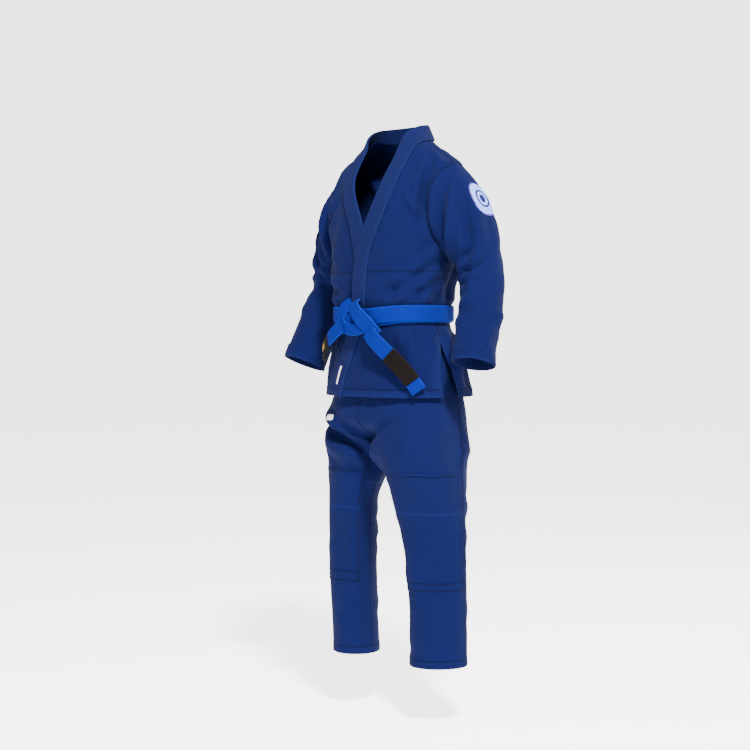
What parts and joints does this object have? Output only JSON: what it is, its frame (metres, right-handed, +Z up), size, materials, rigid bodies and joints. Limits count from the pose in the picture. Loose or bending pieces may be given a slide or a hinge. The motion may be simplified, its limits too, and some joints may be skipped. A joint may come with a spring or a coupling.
{
  "type": "martial arts uniform",
  "caption": "Grappling uniform as worn: crossed jacket with lapel band, wide trousers and knotted belt; sleeves, legs, back skirt and belt ends swing.",
  "frame": {"origin": "middle of the wearer's waist, at the belt's height", "axes": "+Z up, -Y the way the wearer faces, +X the wearer's left"},
  "size_m": [0.7062, 0.3437, 1.425],
  "materials": {
    "jacket_cloth": "matt, grain-woven cotton",
    "lapel_cloth": "matt, stitched ripstop cotton",
    "lapel_rubber": "foam rubber core",
    "trouser_cloth": "matt, drill cotton",
    "twill_tape": "matt twill tape",
    "belt_cloth": "satin cotton, stitched in rows",
    "belt_core": "cotton batting",
    "rank_bar": "matt black cotton",
    "badge": "embroidered patch",
    "dark_label": "woven label",
    "pale_label": "woven label",
    "gold_label": "woven label",
    "thread": "buttonhole stitch"
  },
  "bodies": {
    "root": {"jacket_back_upper": "jacket_cloth", "jacket_back_lower": "jacket_cloth", "jacket_left_chest": "jacket_cloth", "jacket_left_front_lower": "jacket_cloth", "jacket_right_chest": "jacket_cloth", "jacket_right_front_lower": "jacket_cloth", "lapel_cover": "lapel_cloth", "lapel_core": "lapel_rubber", "left_shoulder_lining": "twill_tape", "right_shoulder_lining": "twill_tape", "left_front_hem_tape": "twill_tape", "right_front_hem_tape": "twill_tape", "left_vent_front_patch": "twill_tape", "right_vent_front_patch": "twill_tape", "lapel_label": "dark_label", "trousers_seat": "trouser_cloth", "waistband": "twill_tape", "waistband_eyelets": "thread", "drawstring_loops": "twill_tape", "belt_inner_wrap": "belt_cloth", "belt_outer_wrap": "belt_cloth", "belt_knot": "belt_cloth"},
    "left_upper_sleeve": {"left_sleeve_upper": "jacket_cloth", "left_armpit_gusset": "jacket_cloth", "sleeve_badge": "badge"},
    "left_forearm_sleeve": {"left_sleeve_lower": "jacket_cloth", "left_cuff_tape": "twill_tape"},
    "right_upper_sleeve": {"right_sleeve_upper": "jacket_cloth", "right_armpit_gusset": "jacket_cloth"},
    "right_forearm_sleeve": {"right_sleeve_lower": "jacket_cloth", "right_cuff_tape": "twill_tape"},
    "left_thigh": {"left_hip_panel": "trouser_cloth", "crotch_gusset_left": "trouser_cloth", "left_leg_upper": "trouser_cloth", "left_knee_patch_upper": "trouser_cloth"},
    "left_shin": {"left_leg_lower": "trouser_cloth", "left_knee_patch_lower": "trouser_cloth", "left_ankle_tape": "twill_tape"},
    "right_thigh": {"right_hip_panel": "trouser_cloth", "crotch_gusset_right": "trouser_cloth", "right_leg_upper": "trouser_cloth", "right_knee_patch_upper": "trouser_cloth", "hip_label": "pale_label"},
    "right_shin": {"right_leg_lower": "trouser_cloth", "right_knee_patch_lower": "trouser_cloth", "right_ankle_tape": "twill_tape"},
    "back_tail": {"back_skirt": "jacket_cloth", "back_hem_tape": "twill_tape", "left_vent_back_patch": "twill_tape", "right_vent_back_patch": "twill_tape"},
    "left_belt_end": {"belt_left_tail": "belt_cloth", "belt_left_tail_core": "belt_core", "belt_rank_bar": "rank_bar"},
    "right_belt_end": {"belt_right_tail": "belt_cloth", "belt_right_tail_core": "belt_core", "belt_label": "gold_label"}
  },
  "joints": [
    {"name": "left_shoulder_swing", "type": "hinge", "parent": "root", "child": "left_upper_sleeve", "pos_m": [0.1905, 0.03, 0.41], "axis": [0, -1, 0], "range_deg": [0, 30]},
    {"name": "right_shoulder_swing", "type": "hinge", "parent": "root", "child": "right_upper_sleeve", "pos_m": [-0.1905, 0.03, 0.41], "axis": [0, 1, 0], "range_deg": [0, 30]},
    {"name": "left_elbow_bend", "type": "hinge", "parent": "left_upper_sleeve", "child": "left_forearm_sleeve", "pos_m": [0.2731, -0.0137, 0.0933], "axis": [-0.9927, 0, -0.1209], "range_deg": [0, 90]},
    {"name": "right_elbow_bend", "type": "hinge", "parent": "right_upper_sleeve", "child": "right_forearm_sleeve", "pos_m": [-0.2715, -0.029, 0.0981], "axis": [-0.9924, 0, 0.1228], "range_deg": [0, 90]},
    {"name": "left_hip_swing", "type": "hinge", "parent": "root", "child": "left_thigh", "pos_m": [0.104, -0.1275, -0.2095], "axis": [-1, 0, 0], "range_deg": [0, 40]},
    {"name": "right_hip_swing", "type": "hinge", "parent": "root", "child": "right_thigh", "pos_m": [-0.104, -0.1275, -0.2095], "axis": [-1, 0, 0], "range_deg": [0, 40]},
    {"name": "left_knee_bend", "type": "hinge", "parent": "left_thigh", "child": "left_shin", "pos_m": [0.133, 0.0865, -0.5745], "axis": [1, 0, 0], "range_deg": [0, 80]},
    {"name": "right_knee_bend", "type": "hinge", "parent": "right_thigh", "child": "right_shin", "pos_m": [-0.137, 0.0665, -0.5745], "axis": [1, 0, 0], "range_deg": [0, 80]},
    {"name": "back_skirt_lift", "type": "hinge", "parent": "root", "child": "back_tail", "pos_m": [0, 0.13, -0.0422], "axis": [1, 0, 0], "range_deg": [0, 25]},
    {"name": "left_belt_end_swing", "type": "hinge", "parent": "root", "child": "left_belt_end", "pos_m": [0.072, -0.1523, -0.049], "axis": [-0.7071, 0, -0.7071], "range_deg": [0, 50]},
    {"name": "right_belt_end_swing", "type": "hinge", "parent": "root", "child": "right_belt_end", "pos_m": [-0.05, -0.1543, -0.025], "axis": [-0.5549, 0, 0.8319], "range_deg": [0, 50]}
  ]
}
